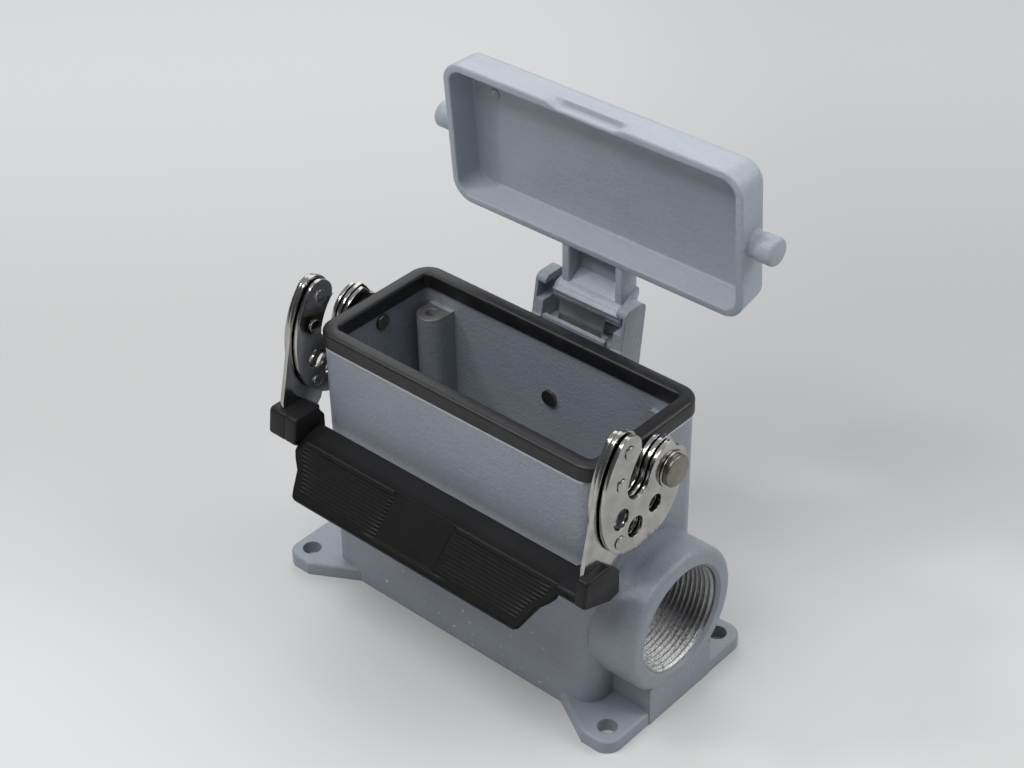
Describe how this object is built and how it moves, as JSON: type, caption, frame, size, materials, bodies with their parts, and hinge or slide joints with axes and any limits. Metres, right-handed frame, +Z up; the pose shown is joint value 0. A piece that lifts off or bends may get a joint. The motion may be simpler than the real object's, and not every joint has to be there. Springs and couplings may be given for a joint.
{
  "type": "heavy duty rectangular connector",
  "caption": "Die-cast surface-mounting connector housing with a threaded side entry, a hinged sealing cover and a swing-over locking lever.",
  "frame": {"origin": "middle of the mounting face, centred on the four mounting holes", "axes": "+X along the length towards the threaded entry, +Y towards the hinge, +Z up out of the housing's mouth"},
  "size_m": [0.1198, 0.087, 0.1392],
  "materials": {
    "paint": "blue-grey satin powder coat over a die-casting",
    "rubber": "black moulded rubber",
    "steel": "bright stamped stainless steel",
    "grip": "black moulded plastic"
  },
  "bodies": {
    "body": {"housing": "paint", "gasket": "rubber", "hinge_bracket": "paint", "bracket_rivet": "steel", "hinge_pin": "steel", "hinge_leaf": "steel", "pivot_peg_right": "steel", "peg_washer_right": "steel", "pivot_peg_left": "steel", "peg_washer_left": "steel"},
    "cover": {"cover": "paint"},
    "lever": {"lever_grip": "grip", "lever_inner_disc_right": "steel", "lever_arm_right": "steel", "lever_outer_disc_right": "steel", "lever_rivet_1_right": "steel", "lever_rivet_2_right": "steel", "lever_rivet_3_right": "steel", "lever_inner_disc_left": "steel", "lever_arm_left": "steel", "lever_outer_disc_left": "steel", "lever_rivet_1_left": "steel", "lever_rivet_2_left": "steel", "lever_rivet_3_left": "steel"}
  },
  "joints": [
    {"name": "cover_hinge", "type": "hinge", "parent": "body", "child": "cover", "pos_m": [0, 0.0358, 0.082], "axis": [1, 0, 0], "range_deg": [0, 85.5]},
    {"name": "lever_pivot", "type": "hinge", "parent": "body", "child": "lever", "pos_m": [0, 0, 0.0743], "axis": [-1, 0, 0], "range_deg": [0, 76.5]}
  ]
}
